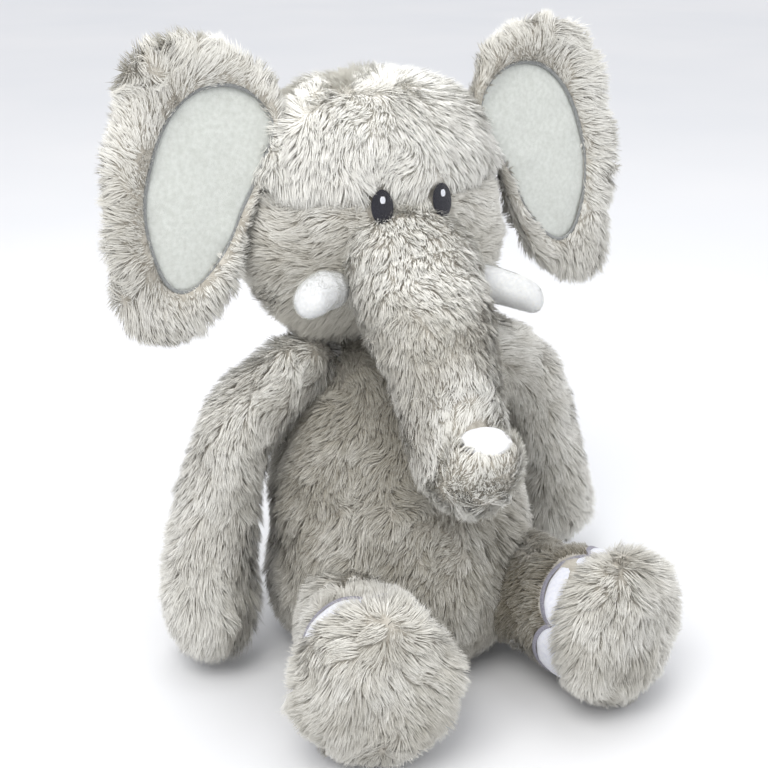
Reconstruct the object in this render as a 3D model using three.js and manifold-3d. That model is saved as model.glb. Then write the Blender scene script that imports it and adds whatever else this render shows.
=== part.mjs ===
// A seated plush elephant: long-pile fur covers over fibre filling, with bean bags in the seat and
// feet. Millimetres, +Z up. The elephant faces -Y and its left side is +X.
// The outer faces of the fur covers lie about half way down the pile.
import * as THREE from "three";
import { mergeVertices } from "three/addons/utils/BufferGeometryUtils.js";
import Module from "manifold-3d";

const wasm = await Module();
wasm.setup();

// ---- Driving dimensions -------------------------------------------------------------------------

const FRAME_Y = 45.2; // shifts the toy so that its bounding box is centred on Y = 0
const WALL = 3; // a fur cover: backing cloth and the packed half of its pile
const GAP = 0.35; // between pieces that touch
const ROUND = 12; // sides of a limb, and of a ball joint between two stuffed parts
const BODY_SIDES = 20;
const LIMB_ROOM = { arm: 5, leg: 9 }; // more play round a limb's root, for the sleeve beyond its ball
const PLAY = 2.4; // between a stuffed ball and the dish that it turns in
const SEAM_HOLE = { trunk: 12, tip: 8, arm: 9 }; // radius of the opening in a cover where it is sewn on

const TORSO = [[0, 0], [0, 46], [5, 62], [20, 73], [42, 78.5], [60, 79], [85, 76], [110, 69], [140, 59],
  [165, 50], [177, 40], [184, 24], [185.5, 0]]; // height, radius
const TORSO_LEAN = { seat: -22, shoulders: 12, from: 45, to: 185 }; // y of its centre line
const TORSO_SEAM = { bottom: -72, top: 8 }; // y of the side seam at the seat and at the neck

const NECK = { y: 14, z: 186, r: 28 };

const HEAD = [[187, 0], [187.5, 24], [190, 42], [198, 58], [212, 72], [230, 79], [250, 79], [266, 75.5],
  [271, 74], [277, 77], [294, 69.5], [310, 61], [321, 49], [327, 33], [329.5, 0]]; // height, radius
const HEAD_FORM = { y: 12, front: 0.6, back: 0.8 }; // its depth as a share of its width
const BROW_Z = 271;
const BACK_SEAM_Y = 24;

const EYE = { x: 17.6, z: 266, width: 12.5, height: 18.5, thick: 1.2, shine: 3.4, proud: 1.3 };
const TUSK = {
  root: [47, -27, 227],
  left: [72, -53, 214], // its tip
  right: [72, -52, 227],
  thick: 12, // radius at the root
  tip: 7.5,
  wall: 1.2,
};

const EAR = {
  low: [76, 5, 267], // the ends of the seam that the ear hangs from
  high: [56, 9, 321],
  out: [157, 7.5, 270], // a point that sets the ear's plane
  bead: 5.2,
  channel: 8.6,
};
// Outlines in the ear's plane: across and up from the seam's low end.
const EAR_OUTLINE = [[-16, 56], [0, 76], [36, 86], [62, 74], [73, 44], [78, 8], [80, -42], [74, -62],
  [54, -67], [25, -50], [9, -12]];
const LINING_OUTLINE = [[-2, 46], [2, 58], [16, 62], [34, 58], [50, 38], [60, 8], [58, -22], [50, -38],
  [36, -44], [20, -30], [14, -6]];
const EAR_LAYERS = { back: [-6, -2], wadding: [-1.6, 1], front: [1.4, 6], lining: [1.4, 4] };
const PIPING = { width: 1.8, from: 4.4, to: 5.8 };

const TRUNK = {
  base: [-38, 226], // y and z of its three bends
  middle: [-68, 192],
  lower: [-85, 160],
  curl: [[-94, 143], [-109, 136], [-116, 145], [-119, 157]],
  baseWidth: 39,
  radii: [30, 31, 27.5],
  curlRadii: [25, 24, 21.5, 19],
  disc: 13,
};

const ARM = {
  shoulder: [60, 0, 164],
  route: [[0, 0, 0], [30, -1, -22], [47, -4, -67], [55, -9, -105], [57, -12, -127]],
  radii: [22, 21, 22, 24.5, 26],
  turn: { left: [9, -5], right: [0, 0] }, // degrees: swung back, and spread outward
};

const LEG = {
  hip: { left: [50, -82, 38.3], right: [50, -70, 38.3] },
  splay: 17.5, // degrees, outward
  rise: 4, // degrees
  profile: [[-33, 0], [-28.6, 16.5], [-16.5, 28.6], [0, 33], [20, 33.6], [42, 37.5], [58, 38.5]],
  front: 58,
};
const SOLE = [[58.4, 0], [58.4, 36], [61, 40.5], [67, 43], [74, 42.5], [81, 38], [87, 26], [90, 0]];
const TOENAIL = { lobes: 4, reach: 150, length: 17, neck: 3, thick: 1.2, stitch: 2.2, raise: 0.8 };
const BEANS = { seat: { r: 34, top: 24, y: -14, round: 8 }, foot: { r: 25, length: 17 } };

const TAIL = {
  root: [0, 54, 46],
  ball: 8.5,
  radii: [6, 5, 5],
  route: [[0, 0, 0], [0, 10, -7], [0, 18, -21], [0, 20, -30]],
  tuft: { overlap: 8, profile: [[0, 0], [1, 6], [8, 8.5], [16, 6], [22, 0]] },
};

const FUR = { color: 0xb9aea0, roughness: 0.95 };
const FOREHEAD = { color: 0xddd7ce, roughness: 0.95 };
const VELOUR = { color: 0xdfe3de, roughness: 0.9 };
const WHITE = { color: 0xf0f2f2, roughness: 0.85 };
const STITCH = { color: 0x8d8c90, roughness: 0.6 };
const BLACK = { color: 0x2e2d31, roughness: 0.6 };
const FIBRE = { color: 0xf4f2ee, roughness: 1 };
const COTTON = { color: 0xd8cdb8, roughness: 0.9 };

// ---- Solids and booleans ------------------------------------------------------------------------

function solidOf(geometry) {
  const bare = geometry.index ? geometry.toNonIndexed() : geometry.clone();
  bare.deleteAttribute("normal");
  bare.deleteAttribute("uv");
  const merged = mergeVertices(bare, 1e-3);
  return new wasm.Manifold(new wasm.Mesh({
    numProp: 3,
    vertProperties: merged.attributes.position.array,
    triVerts: new Uint32Array(merged.index.array),
  }));
}

function geometryOf(solid) {
  const mesh = solid.getMesh();
  const points = new Float32Array(mesh.numVert * 3);
  for (let i = 0; i < mesh.numVert; i++) {
    points.set(mesh.vertProperties.subarray(i * mesh.numProp, i * mesh.numProp + 3), i * 3);
  }
  const geometry = new THREE.BufferGeometry();
  geometry.setAttribute("position", new THREE.BufferAttribute(points, 3));
  geometry.setIndex(new THREE.BufferAttribute(mesh.triVerts, 1));
  return geometry;
}

// A ball, or a ball stretched across X, that one stuffed part turns on inside another's dish.
function ball(centre, r, acrossX = r) {
  const geometry = new THREE.SphereGeometry(1, ROUND, ROUND / 2);
  geometry.rotateZ(Math.PI / 2);
  geometry.scale(acrossX, r, r);
  return solidOf(geometry.translate(...centre));
}

// Everything on one side of a plane, as a large block that a panel is cut with.
function halfSpace(point, normal) {
  const reach = 1200;
  const geometry = new THREE.BoxGeometry(reach, reach, reach);
  geometry.translate(0, 0, reach / 2);
  const turn = new THREE.Quaternion();
  turn.setFromUnitVectors(new THREE.Vector3(0, 0, 1), new THREE.Vector3(...normal).normalize());
  geometry.applyQuaternion(turn);
  return solidOf(geometry.translate(...point));
}

// ---- Round stuffed forms ------------------------------------------------------------------------

// A profile of [height, radius] points moved inward by `inset`, along the mean normal at each point.
function insetProfile(profile, inset) {
  const edges = profile.slice(1).map(([h, r], i) => {
    const edge = new THREE.Vector2(r - profile[i][1], h - profile[i][0]).normalize();
    return new THREE.Vector2(edge.y, -edge.x);
  });
  return profile.map(([h, r], i) => {
    const first = edges[Math.max(i - 1, 0)];
    const second = edges[Math.min(i, edges.length - 1)];
    const mean = first.clone().add(second).normalize();
    if (i === 0 || i === profile.length - 1) return [h - inset * Math.sign(mean.y), 0];
    const along = inset / mean.dot(first);
    return [h - mean.y * along, Math.max(r - mean.x * along, 0.5)];
  });
}

// The profile turned about +Z.
function turned(profile, sides) {
  const geometry = new THREE.LatheGeometry(profile.map(([h, r]) => new THREE.Vector2(r, h)), sides);
  return geometry.rotateX(Math.PI / 2);
}

// Moves each vertex by a function of its place, which keeps the surface closed.
function reshaped(geometry, move) {
  const place = geometry.attributes.position;
  const v = new THREE.Vector3();
  for (let i = 0; i < place.count; i++) {
    move(v.fromBufferAttribute(place, i));
    place.setXYZ(i, v.x, v.y, v.z);
  }
  return geometry;
}

// A round bar about +Z, bent so that its axis follows a curve through the route's points.
// The route lies in one plane, and `side` is that plane's normal.
function bentTo(geometry, route, side) {
  const curve = curveThrough(route);
  const length = curve.getLength();
  const across = new THREE.Vector3(...side).normalize();
  return reshaped(geometry, (v) => {
    const u = THREE.MathUtils.clamp(v.z / length, 0, 1);
    const tangent = curve.getTangentAt(u);
    const second = new THREE.Vector3().crossVectors(tangent, across).normalize();
    const centre = curve.getPointAt(u).addScaledVector(tangent, v.z - u * length);
    const first = new THREE.Vector3().crossVectors(second, tangent);
    v.copy(centre.addScaledVector(first, v.x).addScaledVector(second, v.y));
  });
}

function curveThrough(route, closed = false) {
  return new THREE.CatmullRomCurve3(route.map((p) => new THREE.Vector3(...p)), closed, "centripetal");
}

function routeLength(route) {
  return curveThrough(route).getLength();
}

// Half a ball, then radii at equal steps along a length, then a domed or a flat end.
function limbProfile(radii, length, domed) {
  const first = radii[0];
  const last = radii[radii.length - 1];
  const arc = [30, 61].map(THREE.MathUtils.degToRad);
  const root = arc.map((a) => [-first * Math.sin(a), first * Math.cos(a)]).reverse();
  const middle = radii.map((r, i) => [length * i / (radii.length - 1), r]);
  const end = arc.map((a) => [length + last * Math.sin(a), last * Math.cos(a)]);
  const close = domed ? [...end, [length + last, 0]] : [[length, 0]];
  return [[-first, 0], ...root, ...middle, ...close];
}

// A fur cover, from the form's outside to one wall in, and the filling that it holds.
function coverAndFilling(form, open) {
  let cover = form(0).subtract(form(WALL));
  if (open) cover = cover.subtract(open);
  return { cover, filling: form(WALL + GAP) };
}

// ---- Torso --------------------------------------------------------------------------------------

function torsoForm(inset) {
  const geometry = turned(insetProfile(TORSO, inset), BODY_SIDES);
  const leaning = reshaped(geometry, (v) => {
    const t = THREE.MathUtils.smoothstep(v.z, TORSO_LEAN.from, TORSO_LEAN.to);
    v.y += THREE.MathUtils.lerp(TORSO_LEAN.seat, TORSO_LEAN.shoulders, t);
  });
  let form = solidOf(leaning);
  const armDish = ARM.radii[0] + LIMB_ROOM.arm;
  const legDish = LEG.profile[3][1] + LIMB_ROOM.leg;
  const dishes = [
    [[0, NECK.y, NECK.z], NECK.r],
    [ARM.shoulder, armDish],
    [mirrored(ARM.shoulder), armDish],
    [LEG.hip.left, legDish],
    [mirrored(LEG.hip.right), legDish],
    [TAIL.root, TAIL.ball],
  ];
  for (const [centre, r] of dishes) form = form.subtract(ball(centre, r + PLAY + inset));
  return form;
}

function mirrored([x, y, z]) {
  return [-x, y, z];
}

function torsoParts() {
  const { cover, filling } = coverAndFilling(torsoForm);
  const top = TORSO[TORSO.length - 1][0];
  const seam = [0, TORSO_SEAM.bottom, 0];
  const slope = [0, -top, TORSO_SEAM.top - TORSO_SEAM.bottom];
  const front = halfSpace([0, seam[1] - GAP / 2, 0], slope);
  const back = halfSpace([0, seam[1] + GAP / 2, 0], slope.map((v) => -v));
  const { r, top: bagTop, y: bagY, round } = BEANS.seat;
  const bagHeight = bagTop - WALL;
  const bagProfile = (grow) => [[0, 0], [0, r - round + grow], [round, r + grow],
    [bagHeight - round, r + grow], [bagHeight + 2 * grow, r - round + grow], [bagHeight + 2 * grow, 0]];
  const bag = (grow, low) => solidOf(turned(bagProfile(grow), 16).translate(0, bagY, low));
  return {
    torso_front_panel: [cover.intersect(front), FUR],
    torso_back_panel: [cover.intersect(back), FUR],
    torso_filling: [filling.subtract(bag(2 * GAP, WALL)), FIBRE],
    seat_bean_bag: [bag(0, WALL + GAP), COTTON],
    neck_filling: [ball([0, NECK.y, NECK.z], NECK.r), FIBRE],
  };
}

// ---- Head ---------------------------------------------------------------------------------------

function headPoint(x, z, out = 0) {
  const rows = HEAD.filter((row, i) => i > 0);
  const upper = rows.findIndex(([h]) => h >= z);
  const [h0, r0] = rows[upper - 1];
  const [h1, r1] = rows[upper];
  const r = r0 + (r1 - r0) * (z - h0) / (h1 - h0);
  const y = -Math.sqrt(r * r - x * x);
  const slope = (r1 - r0) / (h1 - h0);
  const normal = new THREE.Vector3(x / r, y / r / HEAD_FORM.front, -slope).normalize();
  const place = new THREE.Vector3(x, HEAD_FORM.y + y * HEAD_FORM.front, z).addScaledVector(normal, out);
  return { place, normal };
}

function headForm(inset) {
  const shaped = reshaped(turned(insetProfile(HEAD, inset), BODY_SIDES), (v) => {
    v.y = HEAD_FORM.y + v.y * (v.y < 0 ? HEAD_FORM.front : HEAD_FORM.back);
  });
  const [y, z] = TRUNK.base;
  const reach = PLAY + inset;
  return solidOf(shaped)
    .subtract(ball([0, NECK.y, NECK.z], NECK.r + reach))
    .subtract(ball([0, y, z], TRUNK.radii[0] + reach, TRUNK.baseWidth + reach))
    .subtract(upperTrunkForm(-reach))
    .subtract(earChannel(EAR.channel + inset, 1))
    .subtract(earChannel(EAR.channel + inset, -1));
}

function headParts() {
  const { cover, filling } = coverAndFilling(headForm);
  const half = GAP / 2;
  const above = halfSpace([0, 0, BROW_Z + half], [0, 0, 1]);
  const below = halfSpace([0, 0, BROW_Z - half], [0, 0, -1]);
  const front = halfSpace([0, BACK_SEAM_Y - half, 0], [0, -1, 0]);
  const behind = halfSpace([0, BACK_SEAM_Y + half, 0], [0, 1, 0]);
  const cheeks = cover.intersect(front).intersect(below);
  return {
    crown_panel: [cover.intersect(front).intersect(above), FOREHEAD],
    left_cheek_panel: [cheeks.intersect(halfSpace([half, 0, 0], [1, 0, 0])), FUR],
    right_cheek_panel: [cheeks.intersect(halfSpace([-half, 0, 0], [-1, 0, 0])), FUR],
    head_back_panel: [cover.intersect(behind), FUR],
    head_filling: [filling, FIBRE],
  };
}

// An embroidered eye: a low oval that faces out from the brow, with a white stitch for the shine.
function eyeDisc(width, height, thick, rise, shift) {
  const { place, normal } = headPoint(EYE.x, EYE.z, EYE.proud + rise);
  const geometry = new THREE.CylinderGeometry(0.5, 0.5, thick, 14);
  geometry.rotateX(Math.PI / 2).scale(width, height, 1).translate(0, shift, thick / 2);
  const frame = new THREE.Matrix4();
  const side = new THREE.Vector3(0, 0, 1).cross(normal).normalize();
  frame.makeBasis(side, new THREE.Vector3().crossVectors(normal, side), normal);
  return geometry.applyMatrix4(frame).translate(place.x, place.y, place.z);
}

function eyeParts() {
  const { width, height, thick, shine } = EYE;
  return {
    eye: [solidOf(eyeDisc(width, height, thick, 0, 0)), BLACK],
    eye_shine: [solidOf(eyeDisc(shine, shine * 1.2, thick / 2, thick + GAP, height * 0.2)), WHITE],
  };
}

// A tusk: a velour cone with a round tip, filled with fibre, its open root on the cheek.
function tuskParts(side) {
  const root = new THREE.Vector3(...TUSK.root);
  const reach = new THREE.Vector3(...TUSK[side]).sub(root);
  const length = reach.length();
  const tip = TUSK.tip;
  const profile = [[0, 0], [0, TUSK.thick], [length * 0.3, TUSK.thick * 0.98],
    [length - tip, tip * 1.15], [length - tip * 0.4, tip * 0.85], [length, 0]];
  const turn = new THREE.Quaternion().setFromUnitVectors(new THREE.Vector3(0, 0, 1), reach.normalize());
  const form = (inset) => solidOf(turned(insetProfile(profile, inset), 10).applyQuaternion(turn)
    .translate(root.x, root.y, root.z));
  const cheek = headForm(-GAP).add(upperTrunkForm(-PLAY));
  return {
    tusk_cover: [form(0).subtract(form(TUSK.wall)).subtract(cheek), WHITE],
    tusk_filling: [form(TUSK.wall + GAP).subtract(cheek), FIBRE],
  };
}

// ---- Ears ---------------------------------------------------------------------------------------

// The ear's plane: X across, Y up along the ear, Z out of its front.
function earFrame() {
  const low = new THREE.Vector3(...EAR.low);
  const up = new THREE.Vector3(...EAR.high).sub(low);
  const normal = new THREE.Vector3(...EAR.out).sub(low).cross(up).normalize();
  const across = new THREE.Vector3(0, 0, 1).cross(normal).negate().normalize();
  const front = normal.y < 0 ? normal : normal.negate();
  const right = across.x > 0 ? across : across.negate();
  const frame = new THREE.Matrix4();
  frame.makeBasis(right, new THREE.Vector3().crossVectors(front, right), front);
  return frame.setPosition(low);
}

function smoothOutline(points, steps) {
  const curve = curveThrough(points.map(([x, y]) => [x, y, 0]), true);
  return curve.getSpacedPoints(steps).slice(0, -1).map((p) => new THREE.Vector2(p.x, p.y));
}

// The outline moved outward by `grow`, or inward where it is negative.
function grown(outline, grow) {
  const n = outline.length;
  return outline.map((p, i) => {
    const along = outline[(i + 1) % n].clone().sub(outline[(i + n - 1) % n]).normalize();
    const out = new THREE.Vector2(along.y, -along.x);
    const turn = THREE.ShapeUtils.isClockWise(outline) ? -1 : 1;
    return p.clone().addScaledVector(out, grow * turn);
  });
}

function layer(outline, [from, to]) {
  const shape = new THREE.Shape(outline);
  const geometry = new THREE.ExtrudeGeometry(shape, { depth: to - from, bevelEnabled: false });
  return solidOf(geometry.translate(0, 0, from).applyMatrix4(earFrame()));
}

function beadAlongSeam(r, overrun, sides) {
  const low = new THREE.Vector3(...EAR.low);
  const along = new THREE.Vector3(...EAR.high).sub(low);
  const length = along.length() + 2 * overrun;
  const geometry = new THREE.CylinderGeometry(r, r, length, sides);
  geometry.translate(0, length / 2 - overrun, 0);
  const turn = new THREE.Quaternion().setFromUnitVectors(new THREE.Vector3(0, 1, 0), along.normalize());
  return geometry.applyQuaternion(turn).translate(low.x, low.y, low.z);
}

// The groove in the head that the ear's bead turns in, on the left or the right.
function earChannel(r, side) {
  const channel = beadAlongSeam(r, 4, 12).toNonIndexed();
  if (side > 0) return solidOf(channel);
  const place = channel.attributes.position;
  const corner = (_, i) => new THREE.Vector3().fromBufferAttribute(place, i);
  const corners = Array.from({ length: place.count }, corner);
  const order = [0, 2, 1];
  corners.forEach((_, i) => {
    const from = corners[i - i % 3 + order[i % 3]];
    place.setXYZ(i, -from.x, from.y, from.z);
  });
  return solidOf(channel);
}

function earParts() {
  const outline = smoothOutline(EAR_OUTLINE, 26);
  const liningEdge = smoothOutline(LINING_OUTLINE, 22);
  const clearOfBead = solidOf(beadAlongSeam(EAR.bead + GAP, 6, 12));
  const window = layer(liningEdge, [-20, 20]);
  const front = layer(outline, EAR_LAYERS.front).subtract(window);
  const { width, from, to } = PIPING;
  const piping = layer(grown(liningEdge, -GAP), [from, to]);
  return {
    ear_back_panel: [layer(outline, EAR_LAYERS.back).add(solidOf(beadAlongSeam(EAR.bead, 0, 12))), FUR],
    ear_front_border: [front.subtract(clearOfBead), FUR],
    ear_wadding: [layer(grown(outline, -9), EAR_LAYERS.wadding).subtract(clearOfBead), FIBRE],
    ear_lining: [layer(grown(liningEdge, -GAP), EAR_LAYERS.lining).subtract(clearOfBead), VELOUR],
    ear_piping: [piping.subtract(layer(grown(liningEdge, -GAP - width), [-20, 20])), STITCH],
  };
}

// ---- Trunk --------------------------------------------------------------------------------------

function atMiddle([y, z]) {
  return [0, y, z];
}

// A length of trunk: a round end at its own bend, a tube to the next bend, and a dish there.
function trunkLength(from, to, rFrom, rTo, inset, widen) {
  const route = [from, to].map(atMiddle);
  const length = routeLength(route);
  const rim = length - rTo * 0.45;
  const radii = [rFrom, rFrom + (rTo - rFrom) / 2, rTo];
  const profile = insetProfile(limbProfile(radii, rim, false), inset);
  const geometry = reshaped(turned(profile, ROUND), (v) => {
    const fade = THREE.MathUtils.clamp(1 - v.z / rim, 0, 1);
    v.x *= 1 + (widen - 1) * fade;
  });
  const middle = [route[0], route[0].map((v, i) => (v + route[1][i]) / 2), route[1]];
  return solidOf(bentTo(geometry, middle, [1, 0, 0])).subtract(ball(route[1], rTo + PLAY + inset));
}

function upperTrunkForm(inset) {
  const { base, middle, radii, baseWidth } = TRUNK;
  return trunkLength(base, middle, radii[0], radii[1], inset, baseWidth / radii[0]);
}

function lowerTrunkForm(inset) {
  return trunkLength(TRUNK.middle, TRUNK.lower, TRUNK.radii[1], TRUNK.radii[2], inset, 1);
}

// The curl is short lengths of tube, each with a round start, joined at the points of its route.
function trunkTipForm(inset) {
  const stops = [TRUNK.lower, ...TRUNK.curl].map(atMiddle);
  const radii = [TRUNK.radii[2], ...TRUNK.curlRadii];
  const lengths = stops.slice(1).map((stop, i) => {
    const route = [stops[i], stop];
    const profile = limbProfile([radii[i], radii[i + 1]], routeLength(route), false);
    return solidOf(bentTo(turned(insetProfile(profile, inset), ROUND), route, [1, 0, 0]));
  });
  return lengths.reduce((joined, length) => joined.add(length));
}

// A cylinder through a cover's seam opening, so that the cover is open to the part it is sewn to.
function opening(centre, direction, r, reach) {
  const geometry = new THREE.CylinderGeometry(r, r, reach, 14);
  geometry.translate(0, reach / 2, 0);
  const turn = new THREE.Quaternion();
  turn.setFromUnitVectors(new THREE.Vector3(0, 1, 0), new THREE.Vector3(...direction).normalize());
  return solidOf(geometry.applyQuaternion(turn).translate(...centre));
}

function trunkParts() {
  const { base, middle, lower, curl, radii, disc } = TRUNK;
  const upward = (a, b) => [0, a[0] - b[0], a[1] - b[1]];
  const hole = (at, next) => opening(atMiddle(at), upward(at, next), SEAM_HOLE.trunk, 60);
  const upper = coverAndFilling(upperTrunkForm, hole(base, middle));
  const second = coverAndFilling(lowerTrunkForm, hole(middle, lower));
  const [before, end] = curl.slice(-2).map(atMiddle).map((p) => new THREE.Vector3(...p));
  const endward = end.clone().sub(before).normalize();
  const behindEnd = (depth) => end.clone().addScaledVector(endward, -depth).toArray();
  const throughEnd = (depth, r, reach = 20) => opening(behindEnd(depth), endward.toArray(), r, reach);
  const tip = coverAndFilling(trunkTipForm, throughEnd(1.5 * WALL, disc));
  const root = opening(atMiddle(lower), upward(lower, curl[0]), SEAM_HOLE.tip, radii[2] + 6);
  return {
    trunk_upper_cover: [upper.cover, FUR],
    trunk_upper_filling: [upper.filling, FIBRE],
    trunk_lower_cover: [second.cover, FUR],
    trunk_lower_filling: [second.filling, FIBRE],
    trunk_tip_cover: [tip.cover.subtract(root), FUR],
    trunk_tip_filling: [tip.filling.subtract(throughEnd(WALL + GAP, disc + 2)), FIBRE],
    trunk_end_disc: [throughEnd(WALL, disc - GAP, WALL), WHITE],
  };
}

// ---- Arms, legs and tail ------------------------------------------------------------------------

function armForm(inset) {
  const { route, radii } = ARM;
  const length = routeLength(route);
  const profile = insetProfile(limbProfile(radii, length, true), inset);
  return solidOf(bentTo(turned(profile, ROUND), route, [0.1, 1, 0.1]));
}

function armParts() {
  const inward = [-ARM.route[1][0], 0, -ARM.route[1][2]];
  const { cover, filling } = coverAndFilling(armForm, opening([0, 0, 0], inward, SEAM_HOLE.arm, 40));
  return { arm_cover: [cover, FUR], arm_filling: [filling, FIBRE] };
}

function legForm(inset) {
  return solidOf(turned(insetProfile(LEG.profile.concat([[LEG.front, 0]]), inset), ROUND));
}

// A strip wrapped round the leg: from one distance along it to another, at each angle from the top.
function wrapped(angles, near, far, inner, outer) {
  const rows = angles.map((a) => {
    const point = (s, rise) => {
      const r = legRadius(s) + rise;
      return [r * Math.sin(a), -r * Math.cos(a), s];
    };
    return [point(near(a), inner), point(far(a), inner), point(far(a), outer), point(near(a), outer)];
  });
  const triangles = [];
  rows.slice(1).forEach((row, i) => {
    for (let k = 0; k < 4; k++) {
      const next = (k + 1) % 4;
      triangles.push(...rows[i][k], ...rows[i][next], ...row[next]);
      triangles.push(...rows[i][k], ...row[next], ...row[k]);
    }
  });
  const [first, last] = [rows[0], rows[rows.length - 1]];
  triangles.push(...first[0], ...first[2], ...first[1], ...first[0], ...first[3], ...first[2]);
  triangles.push(...last[0], ...last[1], ...last[2], ...last[0], ...last[2], ...last[3]);
  const geometry = new THREE.BufferGeometry();
  geometry.setAttribute("position", new THREE.Float32BufferAttribute(triangles, 3));
  return solidOf(geometry.rotateZ(Math.PI));
}

function legRadius(s) {
  const rows = LEG.profile;
  const upper = rows.findIndex(([h]) => h >= s);
  const [h0, r0] = rows[upper - 1];
  const [h1, r1] = rows[upper];
  return r0 + (r1 - r0) * (s - h0) / (h1 - h0);
}

// Scalloped toenails round the front of the leg, and the satin stitch along their back edge.
function toenailParts() {
  const { lobes, reach, length, neck, thick, stitch, raise } = TOENAIL;
  const half = THREE.MathUtils.degToRad(reach);
  const steps = lobes * 6;
  const angles = Array.from({ length: steps + 1 }, (_, i) => half * (2 * i / steps - 1));
  const lobe = (a) => Math.sqrt(Math.abs(Math.sin((a / half + 1) / 2 * lobes * Math.PI)));
  const edge = (a) => LEG.front - 1 - neck - (length - neck) * lobe(a);
  const behind = (distance) => (a) => edge(a) - distance;
  const stitching = wrapped(angles, behind(GAP + stitch), behind(GAP), GAP, raise + thick);
  return {
    toenails: [wrapped(angles, edge, () => LEG.front - 1, GAP, thick), WHITE],
    toenail_stitching: [stitching, STITCH],
  };
}

function legParts() {
  const through = opening([0, 0, LEG.front - 2 * WALL], [0, 0, 1], 38.5 - WALL, 4 * WALL);
  const { cover, filling } = coverAndFilling(legForm, through);
  const { r, length } = BEANS.foot;
  const seat = LEG.front - WALL - GAP - length;
  const bag = (grow, far) => {
    const profile = [[seat - grow, 0], [seat - grow, r + grow], [far, r + grow], [far, 0]];
    return solidOf(turned(profile, 16));
  };
  return {
    leg_cover: [cover, FUR],
    leg_filling: [filling.subtract(bag(GAP, LEG.front + 5)), FIBRE],
    foot_bean_bag: [bag(0, LEG.front - WALL - GAP), COTTON],
    sole_pad: [solidOf(turned(SOLE, 20)), FUR],
    ...toenailParts(),
  };
}

function tailParts() {
  const { ball: root, radii, tuft, route } = TAIL;
  const length = routeLength(route) - tuft.overlap;
  const bent = (profile) => solidOf(bentTo(turned(profile, ROUND), route, [1, 0, 0]));
  const tuftProfile = tuft.profile.map(([h, r]) => [h + length + GAP, r]);
  return {
    tail_cover: [bent(limbProfile([root, ...radii], length, false)), FUR],
    tail_tuft: [bent(tuftProfile), FUR],
  };
}

// ---- Assembly -----------------------------------------------------------------------------------

function meshOf(name, [solid, look]) {
  const mesh = new THREE.Mesh(geometryOf(solid), new THREE.MeshStandardMaterial({ ...look, metalness: 0 }));
  mesh.name = name;
  return mesh;
}

function addAll(group, parts, prefix = "") {
  for (const [name, part] of Object.entries(parts)) group.add(meshOf(prefix + name, part));
  return group;
}

const elephant = new THREE.Group();
elephant.position.y = FRAME_Y;
addAll(elephant, { ...torsoParts(), ...headParts(), ...trunkParts() });

const tail = addAll(new THREE.Group(), tailParts());
tail.position.set(...TAIL.root);
elephant.add(tail);

const eye = eyeParts();
const ear = earParts();
const arm = armParts();
const leg = legParts();
for (const side of ["left", "right"]) {
  const half = new THREE.Group();
  half.scale.x = side === "left" ? 1 : -1;
  const prefix = side + "_";
  addAll(half, { ...eye, ...tuskParts(side), ...ear }, prefix);

  const shoulder = addAll(new THREE.Group(), arm, prefix);
  const [back, spread] = ARM.turn[side].map(THREE.MathUtils.degToRad);
  shoulder.position.set(...ARM.shoulder);
  shoulder.rotation.set(back, spread, 0);
  half.add(shoulder);

  const hip = addAll(new THREE.Group(), leg, prefix);
  hip.position.set(...LEG.hip[side]);
  const [splay, tilt] = [LEG.splay, 90 - LEG.rise].map(THREE.MathUtils.degToRad);
  hip.rotation.set(tilt, 0, splay, "ZXY");
  half.add(hip);
  elephant.add(half);
}

export default elephant;
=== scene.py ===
"""The looks of a seated plush elephant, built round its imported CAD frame."""
from math import ceil, cos, pi, radians, sin, sqrt

import bpy
import numpy as np
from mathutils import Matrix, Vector
from mathutils.kdtree import KDTree
from numpy.linalg import norm


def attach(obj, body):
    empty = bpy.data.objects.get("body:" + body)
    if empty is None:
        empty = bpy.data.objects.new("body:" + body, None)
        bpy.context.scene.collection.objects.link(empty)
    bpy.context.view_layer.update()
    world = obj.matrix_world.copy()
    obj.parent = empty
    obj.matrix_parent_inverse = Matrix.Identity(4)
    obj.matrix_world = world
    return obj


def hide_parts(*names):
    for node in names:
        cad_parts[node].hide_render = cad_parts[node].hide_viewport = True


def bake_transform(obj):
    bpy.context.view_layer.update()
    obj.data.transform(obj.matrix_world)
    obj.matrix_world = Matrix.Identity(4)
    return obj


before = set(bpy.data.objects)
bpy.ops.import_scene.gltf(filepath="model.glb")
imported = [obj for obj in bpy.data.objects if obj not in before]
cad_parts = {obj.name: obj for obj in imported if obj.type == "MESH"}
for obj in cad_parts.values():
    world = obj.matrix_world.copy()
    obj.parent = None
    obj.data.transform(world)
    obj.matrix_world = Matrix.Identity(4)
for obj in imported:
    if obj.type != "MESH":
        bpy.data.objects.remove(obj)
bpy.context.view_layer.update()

FRAME_Y = 45.2  # mm, the shift between the forms below and the row frame
SKIN = 2.0  # mm, how far the backing cloth lies inside the CAD cover
MM = 0.001
SEED = 11
STRANDS = 39000  # the most in one piece
GROUND = 0.0004  # m, the lowest that any strand reaches
CLOTH_GROUND = 0.0006  # m, the same for the cloth of the seat and feet
STUFFING_FRAMES = 20
SIDES = {"left": 1, "right": -1}


# ---- Camera, light and floor ----

def placed(name, data, target, azimuth, elevation, distance):
    """An object of the data, seen at these angles from the target and looking at it."""
    a, e = radians(azimuth), radians(elevation)
    back = Vector((sin(a) * cos(e), -cos(a) * cos(e), sin(e)))
    thing = bpy.data.objects.new(name, data)
    thing.location = Vector(target) + back * distance
    thing.rotation_euler = back.to_track_quat("Z", "Y").to_euler()
    bpy.context.collection.objects.link(thing)
    return thing


def add_camera():
    data = bpy.data.cameras.new("camera")
    data.lens = 60
    data.sensor_width = 36
    data.shift_y = -0.0436
    data.clip_start = 0.01
    bpy.context.scene.camera = placed("camera", data, (0, 0.045, 0.17), -26, 21, 0.7513)


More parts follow.
